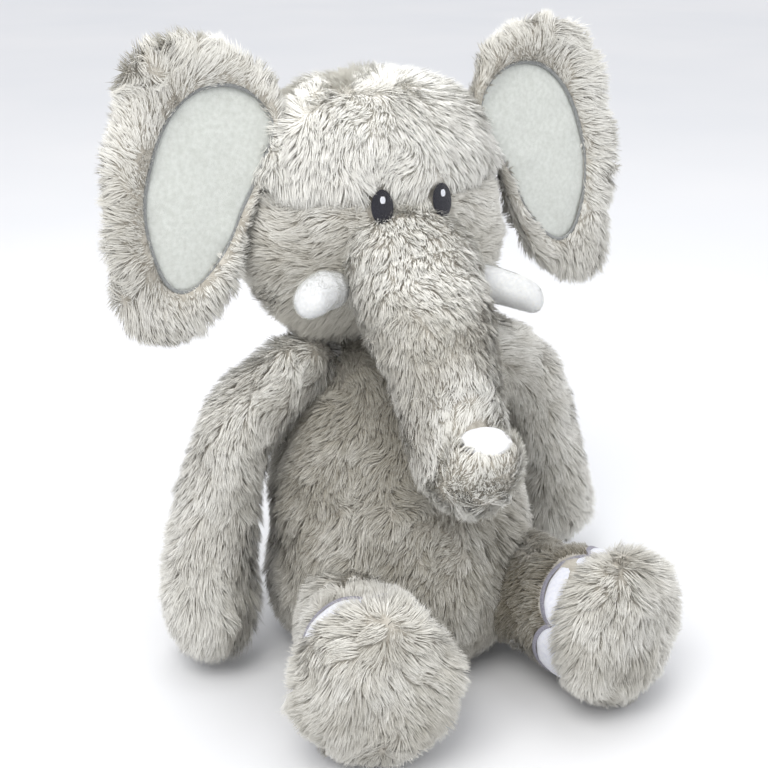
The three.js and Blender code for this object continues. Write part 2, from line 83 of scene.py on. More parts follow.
def add_light(name, azimuth, elevation, distance, size, watts, colour=(1, 1, 1)):
    data = bpy.data.lights.new(name, "AREA")
    data.size = size
    data.energy = watts
    data.color = colour
    placed(name, data, (0, 0, 0.15), azimuth, elevation, distance)


def add_world():
    world = bpy.data.worlds.new("studio")
    world.use_nodes = True
    set_inputs(world.node_tree.nodes["Background"], {"Color": (0.95, 0.96, 1.0, 1), "Strength": 1.1})
    bpy.context.scene.world = world
    bpy.context.scene.view_settings.view_transform = "Standard"


def add_floor(material):
    far, level = 20000, -0.4
    corners = [(x, y - FRAME_Y, level) for x, y in ((-far, -far), (far, -far), (far, far), (-far, far))]
    object_of("floor", Surface(corners, [(0, 1, 2, 3)]), [material], floor=level * MM)


# ---- Materials ----

def srgb(r, g, b):
    def linear(v):
        v /= 255
        return v / 12.92 if v <= 0.04045 else ((v + 0.055) / 1.055) ** 2.4
    return (linear(r), linear(g), linear(b), 1)


def set_inputs(node, values):
    for name, value in values.items():
        node.inputs[name].default_value = value


def plain(name, colour, roughness=0.85, sheen=0.35):
    """A shade of one strand's length, with its numbers on the shader itself."""
    material = bpy.data.materials.new(name)
    material.use_nodes = True
    set_inputs(material.node_tree.nodes["Principled BSDF"], {
        "Base Color": srgb(*colour), "Roughness": roughness, "Specular IOR Level": 0.25,
        "Sheen Weight": sheen, "Sheen Roughness": 0.45})
    return material


def cloth(name, light, dark, scale, bump, roughness=0.9, sheen=0.3, detail=6):
    """Mottled colour from noise, with a finer noise for the pile or weave."""
    material = plain(name, light, roughness, sheen)
    nodes, link = material.node_tree.nodes, material.node_tree.links.new

    def node(kind, **values):
        made = nodes.new("ShaderNode" + kind)
        set_inputs(made, values)
        return made

    shader = nodes["Principled BSDF"]
    place = node("TexCoord")
    mottle = node("TexNoise", Scale=scale, Detail=detail)
    link(place.outputs["Object"], mottle.inputs["Vector"])
    ramp = node("ValToRGB")
    for end, position, colour in zip(ramp.color_ramp.elements, (0.32, 0.68), (dark, light)):
        end.position = position
        end.color = srgb(*colour)
    link(mottle.outputs["Fac"], ramp.inputs["Fac"])
    link(ramp.outputs["Color"], shader.inputs["Base Color"])
    grain = node("TexNoise", Scale=scale * 7, Detail=4)
    link(place.outputs["Object"], grain.inputs["Vector"])
    raised = node("Bump", Strength=bump, Distance=0.0008)
    link(grain.outputs["Fac"], raised.inputs["Height"])
    link(raised.outputs["Normal"], shader.inputs["Normal"])
    return material


# ---- Smooth noise and sampling, in numpy ----

LATTICE = np.random.default_rng(SEED).random((32, 32, 32, 3)) * 2 - 1


def noise(points, size):
    """Three smooth values from -1 to 1 at each point, that change over `size` mm."""
    q = np.asarray(points) / size + 100
    cell = np.floor(q).astype(int)
    f = q - cell
    f = f * f * (3 - 2 * f)
    total = 0
    for corner in np.ndindex(2, 2, 2):
        near = np.where(corner, f, 1 - f)
        at = (cell + corner) % 32
        total = total + (near[:, 0] * near[:, 1] * near[:, 2])[:, None] * LATTICE[tuple(at.T)]
    return total * 1.6


def unit(v):
    return v / np.maximum(norm(v, axis=-1, keepdims=True), 1e-9)


def smooth(x, low, high):
    t = np.clip((x - low) / (high - low), 0, 1)
    return t * t * (3 - 2 * t)


def circle(count):
    return np.linspace(0, 2 * pi, count, endpoint=False)


def lengths_along(points):
    """The way along the points from the first one to each."""
    return np.r_[0, np.cumsum(norm(np.diff(points, axis=0), axis=1))]


def resampled(points, step, at):
    return np.column_stack([np.interp(at, step, column) for column in points.T])


def nearest_on(route, points, every=1):
    """The index of the place on the route that lies nearest to each point."""
    return np.argmin(norm(points[:, None] - route[None, ::every], axis=2), axis=1) * every


def spline(rows, count):
    """Points evenly along a Catmull-Rom curve through the rows; any number of columns."""
    rows = np.asarray(rows, float)
    padded = np.vstack([2 * rows[0] - rows[1], rows, 2 * rows[-1] - rows[-2]])
    dense = []
    for i in range(len(rows) - 1):
        a, b, c, d = padded[i:i + 4]
        t = np.linspace(0, 1, 24, endpoint=False)[:, None]
        dense.append(0.5 * (2 * b + (c - a) * t + (2 * a - 5 * b + 4 * c - d) * t ** 2
                            + (3 * b - a - 3 * c + d) * t ** 3))
    dense = np.vstack(dense + [rows[-1:]])
    step = lengths_along(dense)
    return resampled(dense, step, np.linspace(0, step[-1], count))


# ---- Surfaces ----

class Surface:
    """A triangle mesh in mm, in the frame that the forms are drawn in."""

    def __init__(self, points, quads=(), triangles=()):
        self.points = np.asarray(points, float)
        self.quads = np.asarray(quads, int).reshape(-1, 4)
        self.triangles = np.asarray(triangles, int).reshape(-1, 3)

    def corners(self):
        """The triangles, and the place of each one's three corners."""
        faces = np.vstack([self.quads[:, [0, 1, 2]], self.quads[:, [0, 2, 3]], self.triangles])
        return faces, *(self.points[faces[:, k]] for k in range(3))

    def normals(self):
        faces, a, b, c = self.corners()
        cross = np.cross(b - a, c - a)
        out = np.zeros_like(self.points)
        for k in range(3):
            np.add.at(out, faces[:, k], cross)
        return unit(out)

    def moved(self, by):
        return Surface(self.points + by, self.quads, self.triangles)

    def turned(self):
        return Surface(self.points, self.quads[:, ::-1], self.triangles[:, ::-1])


def grid_surface(rings, start_pole=None, end_pole=None, closed=True):
    """Rings of equal length, joined side to side, with a pole at either end if given."""
    rings = np.asarray(rings, float)
    rows, count = rings.shape[:2]
    points = rings.reshape(-1, 3)
    across = count if closed else count - 1
    quads = []
    for first in range(0, (rows - 1) * count, count):
        for k in range(across):
            a, b = first + k, first + (k + 1) % count
            quads.append((a, b, b + count, a + count))
    triangles = []
    if start_pole is not None:
        triangles += [(len(points), (k + 1) % count, k) for k in range(count)]
        points = np.vstack([points, start_pole])
    if end_pole is not None:
        last = (rows - 1) * count
        triangles += [(len(points), last + k, last + (k + 1) % count) for k in range(count)]
        points = np.vstack([points, end_pole])
    return Surface(points, quads, triangles)


def tube(centres, axes_u, axes_v, radii_u, radii_v, sides=40):
    angle = circle(sides)
    rings = []
    for c, u, v, ru, rv in zip(centres, axes_u, axes_v, radii_u, radii_v):
        rings.append(c + np.outer(np.cos(angle) * ru, u) + np.outer(np.sin(angle) * rv, v))
    return grid_surface(rings, centres[0], centres[-1])


def oriented(surface):
    """The same surface, turned to face outward if it faces in."""
    _, a, b, c = surface.corners()
    volume = np.einsum("ij,ij->i", a, np.cross(b, c)).sum()
    return surface.turned() if volume < 0 else surface


def folds(surface, depth, size, seed=0):
    """Soft unevenness of stuffed cloth."""
    lift = noise(surface.points + seed, size)[:, :1] * depth
    return surface.moved(surface.normals() * lift)


def row(points):
    """mm in the drawing frame to metres in the row frame."""
    return (np.asarray(points, float) + (0, FRAME_Y, 0)) * MM


def object_of(name, surface, materials, face_slots=None, normals=None, floor=0.0):
    """A mesh object of the surface, no lower than the floor."""
    mesh = bpy.data.meshes.new(name)
    points = row(surface.points)
    points[:, 2] = np.maximum(points[:, 2], floor)
    q, t = surface.quads, surface.triangles
    loops = np.concatenate([q.ravel(), t.ravel()])
    sizes = np.concatenate([np.full(len(q), 4), np.full(len(t), 3)])
    mesh.vertices.add(len(points))
    mesh.vertices.foreach_set("co", points.ravel())
    mesh.loops.add(len(loops))
    mesh.loops.foreach_set("vertex_index", loops)
    mesh.polygons.add(len(sizes))
    mesh.polygons.foreach_set("loop_start", np.r_[0, np.cumsum(sizes)[:-1]])
    if face_slots is not None:
        mesh.polygons.foreach_set("material_index", face_slots)
    mesh.polygons.foreach_set("use_smooth", np.ones(len(sizes), bool))
    mesh.update(calc_edges=True)
    if normals is not None:
        mesh.normals_split_custom_set_from_vertices(normals)
    for material in materials:
        mesh.materials.append(material)
    piece = bpy.data.objects.new(name, mesh)
    bpy.context.collection.objects.link(piece)
    return piece


def stuffed(surface, seams, cap=3.0):
    """The surface blown up like a filled cover by a cloth simulation, held where seams says, with no
    point moved more than cap mm."""
    piece = object_of("stuffing_trial", surface, [])
    held = piece.vertex_groups.new(name="seams")
    held.add([int(i) for i in np.flatnonzero(seams(surface.points))], 1.0, "REPLACE")
    modifier = piece.modifiers.new("cloth", "CLOTH")
    settings = modifier.settings
    settings.vertex_group_mass = "seams"
    settings.use_pressure = True
    settings.uniform_pressure_force = 4
    settings.effector_weights.gravity = 0
    settings.quality = 5
    modifier.point_cache.frame_start = 1
    modifier.point_cache.frame_end = STUFFING_FRAMES
    for number in range(1, STUFFING_FRAMES + 1):
        bpy.context.scene.frame_set(number)
    posed = piece.evaluated_get(bpy.context.evaluated_depsgraph_get())
    blown = np.array([v.co for v in posed.data.vertices], float) / MM - (0, FRAME_Y, 0)
    bpy.context.scene.frame_set(1)
    bpy.data.meshes.remove(piece.data)
    move = blown - surface.points
    far = norm(move, axis=1, keepdims=True)
    return surface.moved(move * np.minimum(1, cap / np.maximum(far, 1e-6)))


# ---- Fur ----

def shade_set(name, pale):
    """Root, middle and tip shades, each in five steps from dark to light; pale lifts them all."""
    reds = {"root": (166, 178, 190, 200, 210), "middle": (178, 190, 202, 213, 223),
            "tip": (190, 202, 213, 223, 232)}
    out = []
    for part, steps in reds.items():
        for k, red in enumerate(steps):
            red = red + (246 - red) * pale
            dark = 250 - red
            warm = (red, red - 0.5 - 0.045 * dark, red - 6 - 0.12 * dark)
            out.append(plain(f"{name}_{part}_{k}", warm, 0.8, 0.4))
    return out


def fur(name, surface, shades, comb, keep, seed, length, tone=0.0, spacing=0.78, width=0.46, lift=0.42,
        clump=0.42, wild=0.3, spread=None, tuft=5.0):
    """Tapered strands rooted on the surface. comb gives the lie of the pile at each root; tone moves
    the shades lighter or darker; keep drops roots that lie inside a neighbour; spread scales the length."""
    rng = np.random.default_rng(SEED + seed)
    faces, a, b, c = surface.corners()
    area = norm(np.cross(b - a, c - a), axis=1) / 2
    thin = 1.0
    width = width * 1
    count = int(area.sum() / (spacing * thin))
    pick = rng.choice(len(faces), count, p=area / area.sum())
    s, t = rng.random((2, count))
    flip = s + t > 1
    s[flip], t[flip] = 1 - s[flip], 1 - t[flip]
    weights = np.column_stack([1 - s - t, s, t])
    roots = np.einsum("ik,ikj->ij", weights, surface.points[faces[pick]])
    normals = unit(np.einsum("ik,ikj->ij", weights, surface.normals()[faces[pick]]))
    kept = keep(roots, normals)
    roots, normals = roots[kept], normals[kept]
    count = len(roots)

    lie = comb(roots, normals)
    lie = lie - normals * np.einsum("ij,ij->i", lie, normals)[:, None]
    lie = unit(lie + noise(roots, 26) * 0.55 * wild / 0.3 + noise(roots, 9) * 0.4 * wild / 0.3)
    lie = unit(lie - normals * np.einsum("ij,ij->i", lie, normals)[:, None] * 0.9)

    first = unit(normals * (0.55 + lift) + lie * 0.7 + rng.normal(0, 0.12, (count, 3)))
    last = unit(normals * lift * 0.6 + lie + rng.normal(0, 0.2, (count, 3)))
    long = length * (1 + 0.22 * noise(roots, 14)[:, 0]) * rng.uniform(0.72, 1.08, count)
    if spread is not None:
        long = long * spread(roots)
    ends = roots + long[:, None] * (0.5 * first + 0.5 * last)

    # Each strand leans towards the middle of its tuft.
    middles = rng.choice(count, max(1, int(count * spacing * thin / (tuft * tuft))), replace=False)
    tree = KDTree(len(middles))
    for k, m in enumerate(middles):
        tree.insert(roots[m], k)
    tree.balance()
    nearest = np.array([tree.find(p)[1] for p in roots])
    leader = middles[nearest]
    pull = clump * rng.uniform(0.5, 1.1, count)[:, None]
    ends = ends + (ends[leader] - ends) * pull

    side = unit(np.cross(last, normals) + normals * rng.normal(0, 0.35, (count, 1)))
    flat = np.cross(side, last)
    rows = []
    for along, wide in ((0.0, 0.75), (0.42, 1.0), (0.76, 0.66)):
        bend = (along - along * along / 2) * 2
        straight = roots + first * (long * along)[:, None] * 0.5
        curved = roots + (ends - roots) * (along * 0.35 + 0.65 * along * bend)
        centre = straight * (1 - along) + curved * along
        half = side * (width * wide / 2 * rng.uniform(0.7, 1.25, count))[:, None]
        rows += [centre - half, centre + half]
    rows[:2] = [sunk - normals * 0.5 for sunk in rows[:2]]
    points = np.stack([*rows, ends], axis=1)

    level = 2 + 0.55 * noise(roots, 11)[:, 1] + 0.8 * noise(roots, 34)[:, 2] + rng.normal(0, 0.45, count)
    level = level + rng.normal(0, 0.35, len(middles))[nearest]
    level = level + (tone(roots, normals) if callable(tone) else tone)
    step = np.clip(np.round(level), 0, 4).astype(int)
    pieces = []
    parts = max(1, ceil(count / STRANDS))
    for k in range(parts):
        own = slice(k * count // parts, (k + 1) * count // parts)
        shade = step[own]
        base = np.arange(len(shade))[:, None] * 7
        quads = np.vstack([base + (0, 1, 3, 2), base + (2, 3, 5, 4)])
        strands = Surface(points[own].reshape(-1, 3), quads, base + (4, 5, 6))
        slots = np.concatenate([shade, 5 + shade, 10 + shade])
        label = name if parts == 1 else f"{name}_{k + 1}"
        soft = np.repeat(unit(normals[own] + flat[own] * 0.35), 7, axis=0)
        pieces.append(object_of(label, strands, shades, slots, soft, GROUND))
    return pieces


def down(roots):
    return np.tile((0.0, 0.0, -1.0), (len(roots), 1))


# ---- The forms, in mm ----

TORSO = np.array([[0, 46], [5, 62], [20, 73], [42, 78.5], [60, 79], [85, 76], [110, 69], [140, 59],
                  [165, 50], [177, 40], [184, 24], [188, 12]], float)
HEAD = np.array([[187.5, 24], [190, 42], [198, 58], [212, 72], [230, 79], [250, 79], [266, 75.5],
                 [271, 74], [277, 77], [294, 70.5], [308, 61], [318, 49], [323.5, 33], [326, 14]], float)
HEAD_Y, HEAD_FRONT, HEAD_BACK = 12.0, 0.6, 0.8
HIP = {"left": np.array([50, -80, 41.0]), "right": np.array([-50, -68, 41.0])}
SHOULDER = {"left": np.array([60, 0, 164.0]), "right": np.array([-60, 0, 164.0])}


def lean(z):
    return -22 + 34 * smooth(z, 45, 185)


def turned_form(profile, bottom, top, shape):
    """A stuffed body: a turned profile, with its ends at bottom and top, moved by shape."""
    angle = circle(96)
    rings = []
    for z, r in spline(profile, 46):
        r = max(r - SKIN, 3)
        rings.append(shape(np.column_stack([r * np.cos(angle), r * np.sin(angle), np.full(96, z)])))
    return grid_surface(rings, shape(np.array([[0, 0, bottom]]))[0], shape(np.array([[0, 0, top]]))[0])


def torso_shape(p):
    p = np.array(p, float)
    p[:, 1] += lean(p[:, 2])
    return p


def head_shape(p):
    p = np.array(p, float)
    p[:, 1] = HEAD_Y + p[:, 1] * np.where(p[:, 1] < 0, HEAD_FRONT, HEAD_BACK)
    return p


def depth_in_torso(p):
    """How far inside the torso's CAD surface each point lies, about, in mm; negative is outside."""
    r = np.interp(p[:, 2], TORSO[:, 0], TORSO[:, 1], left=-30, right=-30)
    return r - np.hypot(p[:, 0], p[:, 1] - lean(p[:, 2]))


def depth_in_head(p):
    r = np.interp(p[:, 2], HEAD[:, 0], HEAD[:, 1], left=-30, right=-30)
    y = p[:, 1] - HEAD_Y
    y = y / np.where(y < 0, HEAD_FRONT, HEAD_BACK)
    return (r - np.hypot(p[:, 0], y)) * 0.75


def depth_in_path(p, centres, radii):
    gap = np.full(len(p), -1e9)
    for c, r in zip(centres, radii):
        gap = np.maximum(gap, r - norm(p - c, axis=1))
    return gap


# ---- Trunk ----

# y, z, half width, half height of each place along the trunk
TRUNK = np.array([[-10, 247, 30, 20], [-26, 238, 38, 28], [-38, 226, 40, 31], [-54, 209, 36, 31.5],
                  [-68, 192, 32.5, 31], [-78, 176, 29.5, 29.5], [-85, 160, 28, 28], [-92, 146, 26, 26.5],
                  [-102, 138, 24.5, 24], [-112, 140, 23.5, 22], [-117, 148, 21.5, 20.5],
                  [-119, 157, 19, 19], [-119.5, 160, 15, 15]], float)
TRUNK_BENDS = [(-38, 226), (-68, 192), (-85, 160)]  # y, z of each hinge
TRUNK_BODIES = ["head", "trunk_upper", "trunk_lower", "trunk_tip"]


def trunk_rings(inset, count=86):
    dense = spline(TRUNK, count)
    centres = np.column_stack([np.zeros(count), dense[:, 0], dense[:, 1]])
    tangents = unit(np.gradient(centres, axis=0))
    second = np.cross(tangents, (1.0, 0, 0))
    return centres, tangents, second, dense[:, 2] - inset, dense[:, 3] - inset


def add_trunk(shades, painted_light_tip_shades, skin, felt):
    centres, tangents, second, wide, high = trunk_rings(SKIN)
    step = lengths_along(centres)
    bends = [int(np.argmin(norm(centres[:, 1:] - bend, axis=1))) for bend in TRUNK_BENDS]
    cuts = [0, bends[1] - 7, bends[2] - 6, len(centres)]
    starts = [bends[0] - 7, cuts[1], cuts[2]]
    ends = [bends[0] + 8, bends[1] + 7, bends[2] + 6]

    def comb(roots, normals):
        return tangents[nearest_on(centres, roots, 3)] + (0, 0, -0.15)

    # Painted light and shade on the trunk's pile: lighter where it faces up, darker on its underside, and
    # much lighter over the curl to paint out the shade there. It is also lighter towards the root.
    def tone(roots, normals):
        root = smooth(roots[:, 2], 205, 245)
        curl = smooth(-92 - roots[:, 1], 0, 14)
        under = smooth(-normals[:, 2], 0.1, 0.8) * (1 - curl)
        return -0.9 + 4.6 * root + 3.8 * curl + 0.5 * normals[:, 2] - 1.2 * under

    for k, name in enumerate(TRUNK_BODIES[1:]):
        at_tip = name == "trunk_tip"
        part = slice(max(cuts[k] - 1, 0), min(cuts[k + 1] + 1, len(centres)))
        across = np.tile((1.0, 0, 0), (part.stop - part.start, 1))
        surface = oriented(tube(centres[part], across, second[part], wide[part], high[part], 48))
        surface = folds(surface, 1.1, 17, 40)
        # creases across the upper side
        upper = smooth(surface.points[:, 1] + surface.points[:, 2] * 0.6, 0, 60)
        crease = 1.1 * np.sin(step[nearest_on(centres, surface.points)] / 4.2) ** 8 * upper
        surface = surface.moved(-surface.normals() * crease[:, None])
        piece = object_of(f"{name}_skin", surface, [skin])

        def keep(roots, normals):
            clear = depth_in_head(roots) < 7
            if at_tip:
                ahead = (roots - centres[-1]) @ tangents[-1]
                clear &= ~((ahead > -1.5) & (norm(roots - centres[-1], axis=1) < 12.5))
            return clear

        # the tip's pile takes the lighter shades given for it: painted light over the curl
        own = painted_light_tip_shades if at_tip else shades
        pile = fur(f"{name}_fur", surface, own, comb, length=8.5, seed=20 + k, keep=keep, tone=tone, lift=0.4)
        for each in (piece, *pile):
            tuple(row(centres[starts[k]]))
            tuple(row(centres[ends[k]]))
            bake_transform(each)
        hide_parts(f"{name}_cover", f"{name}_filling")

    # the felt disc that closes the trunk's end
    tip, out = centres[-1], tangents[-1]
    u = np.array((1.0, 0, 0))
    v = np.cross(out, u)
    rings = []
    angle = circle(40)
    for r, h in ((13.2, -2.0), (13.6, 0.0), (12.8, 1.8), (10.5, 3.0), (7.0, 3.6), (3.5, 3.9)):
        level = tip + out * (h + 1.0)
        rings.append(level + np.outer(np.cos(angle) * r, u) + np.outer(np.sin(angle) * r * 0.92, v))
    disc = oriented(grid_surface(rings, tip - out, tip + out * 5.0))
    piece = object_of("trunk_end_felt", folds(disc, 0.35, 6), [felt])
    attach(piece, "trunk_tip")
    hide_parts("trunk_end_disc")


# ---- Torso and head ----

NECK_R, NECK_Y, NECK_Z = 27.5, 14, 186


def side_seam(points):
    """The torso's seam from the seat up each side to the neck."""
    return np.abs(points[:, 1] - (-72 + 80 * points[:, 2] / 188)) < 2.5


def add_torso(shades, skin):
    surface = oriented(turned_form(TORSO, 0.6, 184, torso_shape))
    surface = stuffed(folds(folds(surface, 2.2, 34, 3), 0.9, 13, 9), side_seam)
    piece = object_of("torso_skin", surface, [skin], floor=CLOTH_GROUND)

    def comb(roots, normals):
        lie = down(roots)
        lie[:, 0] += 0.12 * np.sign(roots[:, 0])
        sway = noise(roots * (0.5, 0.5, 1.0), 12)
        return lie + sway * (0.45, 0.45, 0.2)

    def keep(roots, normals):
        clear = (normals[:, 2] > -0.75) | (roots[:, 2] > 4)
        clear &= ~((roots[:, 2] > 186) & (np.abs(roots[:, 0]) < 30))
        for side in SIDES:
            clear &= norm(roots - SHOULDER[side], axis=1) > 15
            clear &= norm(roots - HIP[side], axis=1) > 29
        return clear

    # Painted shade on the torso's pile: darker under the head and behind the trunk. It is also darker towards
    # the seat.
    def tone(roots, normals):
        shade_under_head = smooth(roots[:, 2], 120, 185)
        middle = np.exp(-((roots[:, 0]) / 34) ** 2)
        shade_behind_trunk = middle * smooth(roots[:, 2], 95, 130) * (normals[:, 1] < 0)
        return -0.9 - 2.0 * shade_under_head - 0.7 * shade_behind_trunk - 0.4 * smooth(60 - roots[:, 2], 0, 60)

    pile = fur("torso_fur", surface, shades, comb, seed=1, keep=keep, tone=tone, length=10, lift=0.4)
    for each in (piece, *pile):
        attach(each, "torso")
    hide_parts("torso_front_panel", "torso_back_panel", "torso_filling", "seat_bean_bag")

    # the stump of stuffed cloth that the head turns on
    angle = circle(40)
    rings = []
    for a in np.linspace(-75, 75, 15):
        r, z = NECK_R * cos(radians(a)), NECK_R * sin(radians(a))
        ring = (r * np.cos(angle), NECK_Y + r * np.sin(angle), np.full(40, NECK_Z + z))
        rings.append(np.column_stack(ring))
    ends = [(0, NECK_Y, NECK_Z + end * NECK_R) for end in (-1, 1)]
    stump = oriented(grid_surface(rings, *ends))
    piece = object_of("neck_skin", folds(stump, 0.8, 9), [skin])
    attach(piece, "neck")
    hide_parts("neck_filling")


BROW_Z = 271  # the seam between the forehead and the cheeks


def eye_place(side, out=0.0):
    """The middle of an eye on the head's surface, and the frame that it faces along."""
    x, z = 17.6 * SIDES[side], 266.0
    r = np.interp(z, HEAD[:, 0], HEAD[:, 1])
    y = -sqrt(r * r - x * x)
    normal = unit(np.array([x / r, y / r / HEAD_FRONT, 0.28]))
    place = np.array([x, HEAD_Y + y * HEAD_FRONT, z]) + normal * out
    across = unit(np.cross((0, 0, 1.0), normal))
    return place, normal, across, np.cross(normal, across)


def add_head(body_shades, pale_shades, skin, pale_skin):
    surface = oriented(turned_form(HEAD, 187, 325, head_shape))
    brow = np.exp(-((surface.points[:, 2] - BROW_Z) / 3.2) ** 2) * smooth(20 - surface.points[:, 1], 0, 20)
    surface = folds(folds(surface, 1.6, 26, 70), 0.7, 11, 5)
    surface = stuffed(surface, lambda p: (np.abs(p[:, 2] - BROW_Z) < 3) | (np.abs(p[:, 1] - 24) < 2.5), 2.0)
    surface = surface.moved(-surface.normals() * (3.0 * brow)[:, None])
    trunk = trunk_rings(0)

    def from_eyes(roots):
        """How far each root lies across, above and in front of either eye."""
        for side in SIDES:
            place, normal, across, up = eye_place(side)
            off = roots - place
            yield off @ across, off @ up, off @ normal

    def clear_of(roots):
        clear = depth_in_path(roots, trunk[0][2:40], trunk[4][2:40]) < 6
        clear &= roots[:, 2] > 189
        for across, above, ahead in from_eyes(roots):
            clear &= (np.hypot(across / 6.8, (above - 1.5) / 11.5) >= 1) | (np.abs(ahead) >= 14)
        return clear

    def above_eye(roots):
        """Short pile just above each eye, so that it doesn't hang over it."""
        short = np.ones(len(roots))
        for across, above, ahead in from_eyes(roots):
            near = np.exp(-(across / 8.5) ** 2 - ((above - 12) / 9) ** 2)
            short -= 0.68 * (near * (np.abs(ahead) < 16))
        return np.maximum(short, 0.25)

    def face_comb(roots, normals):
        """Back and down from the trunk's root, round the cheeks."""
        lie = roots - (0, -45, 238)
        lie[:, 0] *= 0.8
        lie[:, 2] = lie[:, 2] * 0.5 - 18
        return unit(lie)

    def crown_comb(roots, normals):
        """Forward and down over the brow in front, down behind."""
        lie = down(roots) * 0.9
        lie[:, 1] -= 0.55 * smooth(30 - roots[:, 1], 0, 40)
        lie[:, 0] += roots[:, 0] / 160
        return lie

    def is_crown(roots):
        return (roots[:, 2] > BROW_Z) & (roots[:, 1] < 30 + 34 * smooth(roots[:, 2], 284, 298))

    # Painted shade under the chin. The face's pile is also a little darker towards the back and lighter
    # towards the brow.
    def face_tone(roots, normals):
        under = smooth(222 - roots[:, 2], 0, 24)
        behind = smooth(roots[:, 1], 20, 60)
        return -1.0 - 2.4 * under - 0.2 * behind + 1.6 * smooth(roots[:, 2], 240, 264)

    def crown_spread(roots):
        return above_eye(roots) * (1 + 0.15 * np.exp(-((roots[:, 2] - 276) / 6) ** 2))

    faces = [surface.points[corners].mean(axis=1) for corners in (surface.quads, surface.triangles)]
    piece = object_of("head_skin", surface, [skin, pale_skin], is_crown(np.concatenate(faces)).astype(int))

    def face_spread(roots):
        """Short over the eyes and below the brow seam, and fuller round the jowls."""
        brow = np.exp(-((roots[:, 2] - 264) / 7) ** 2) * (np.abs(roots[:, 0]) < 34)
        jowl = smooth(228 - roots[:, 2], 0, 18) * smooth(np.abs(roots[:, 0]), 20, 40)
        return above_eye(roots) - 0.3 * brow + 0.4 * jowl

    face = fur("face_fur", surface, body_shades, face_comb, seed=2, tone=face_tone, length=9.5,
               keep=lambda p, n: clear_of(p) & ~is_crown(p), spread=face_spread)
    crown = fur("crown_fur", surface, pale_shades, crown_comb, seed=3, tone=0.1, length=11,
                keep=lambda p, n: clear_of(p) & is_crown(p), spread=crown_spread)
    for each in (piece, *face, *crown):
        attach(each, "head")
    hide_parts("left_cheek_panel", "right_cheek_panel", "head_back_panel", "head_filling")
    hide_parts("crown_panel")


PLUMP = ((-0.5, 0.0), (-0.35, 0.75), (0.0, 1.0), (0.35, 0.75), (0.5, 0.0))
SLIM = ((-0.5, 0.0), (-0.3, 0.4), (0.0, 0.55), (0.3, 0.4), (0.5, 0.0))


def satin(name, centres, acrosses, outs, length, width, height, material):
    """A row of satin stitches: low rounded bars laid side by side."""
    points, quads = [], []
    for c, a, o in zip(centres, acrosses, outs):
        side = unit(np.cross(a, o))
        first = len(points)
        for s, rise in ((-0.5, 0.35), (-0.36, 1.0), (0.36, 1.0), (0.5, 0.35)):
            for w, h in PLUMP:
                points.append(c + a * length * s + side * width * w + o * height * h * rise)
        for corner in range(first, first + 15):
            if (corner - first) % 5 < 4:
                quads.append((corner, corner + 1, corner + 6, corner + 5))
    return object_of(name, Surface(points, quads), [material])


def add_eye(side, thread, white):
    bars, steps = 34, 17
    half_wide, half_high = 6.25, 9.3
    place, normal, across, up = eye_place(side, 2.2)
    # satin bars across the oval make the iris
    points, quads = [], []
    for i in range(bars):
        t = -1 + 2 * (i + 0.5) / bars
        half = half_wide * sqrt(max(1 - t * t, 0.0))
        for edge in (-0.5, 0.0, 0.5):
            level = half_high * t + edge * 2 * half_high / bars
            for k in range(steps):
                s = -1 + 2 * k / (steps - 1)
                dome = 2.3 * sqrt(max(1 - 0.86 * (t * t * 0.8 + s * s * (1 - t * t)), 0.02))
                rise = dome + (0.22 if edge == 0.0 else 0.0)
                points.append(place + across * half * s + up * level + normal * rise)
        for strip in (3 * i, 3 * i + 1):
            for a in range(strip * steps, strip * steps + steps - 1):
                quads.append((a, a + 1, a + steps + 1, a + steps))
    eye = object_of(f"{side}_eye_embroidery", Surface(points, quads), [thread])
    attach(eye, "head")
    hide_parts(f"{side}_eye")
    levels = np.linspace(-1.6, 1.6, 7)
    centres = [place + up * 3.9 + normal * 2.35 + up * d for d in levels]
    lengths = [3.0 * sqrt(max(1 - (d / 2.1) ** 2, 0.1)) for d in levels]
    points, quads = [], []
    for centre, length in zip(centres, lengths):
        first = len(points)
        for s, rise in ((-0.5, 0.3), (-0.3, 1.0), (0.3, 1.0), (0.5, 0.3)):
            for w, h in SLIM:
                points.append(centre + across * length * s + up * 0.56 * w + normal * h * rise)
        for corner in range(first, first + 15):
            if (corner - first) % 5 < 4:
                quads.append((corner, corner + 5, corner + 6, corner + 1))
    shine = object_of(f"{side}_eye_shine_stitch", Surface(points, quads), [white])
    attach(shine, "head")
    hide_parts(f"{side}_eye_shine")


TUSK_ROOT = {"left": (44, -26, 214), "right": (-44, -26, 222)}
TUSK_TIP = {"left": (72, -53, 212), "right": (-72, -53, 231)}


def add_tusk(side, fleece, fuzz):
    count = 22
    sag = np.array([0, -0.03, -0.05])
    root, tip = np.array(TUSK_ROOT[side], float), np.array(TUSK_TIP[side], float)
    axis = unit(tip - root)
    u = unit(np.cross(axis, (0, 0, 1.0)))
    v = np.cross(axis, u)
    length = norm(tip - root)
    profile = spline([[0, 10.6], [length * 0.35, 10.6], [length * 0.65, 9.9], [length - 6, 8.8],
                      [length - 2.6, 7.0], [length - 0.8, 4.4], [length, 1.2]], count)
    centres = [root + axis * s + sag * (s * s / 14) for s, _ in profile]
    surface = oriented(tube(np.array(centres), np.tile(u, (count, 1)), np.tile(v, (count, 1)),
                            profile[:, 1], profile[:, 1] * 0.97, 36))
    surface = folds(surface, 0.45, 8, 12)
    piece = object_of(f"{side}_tusk_velour", surface, [fleece])
    pile = fur(f"{side}_tusk_nap", surface, fuzz, lambda p, n: np.tile(axis, (len(p), 1)), spacing=0.5,
               length=1.3, width=0.22, lift=0.8, clump=0.1, seed=50, wild=0.5, tuft=2.0,
               keep=lambda p, n: depth_in_head(p) < 1)
    for each in (piece, *pile):
        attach(each, "head")
    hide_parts(f"{side}_tusk_cover", f"{side}_tusk_filling")


# ---- Ears ----

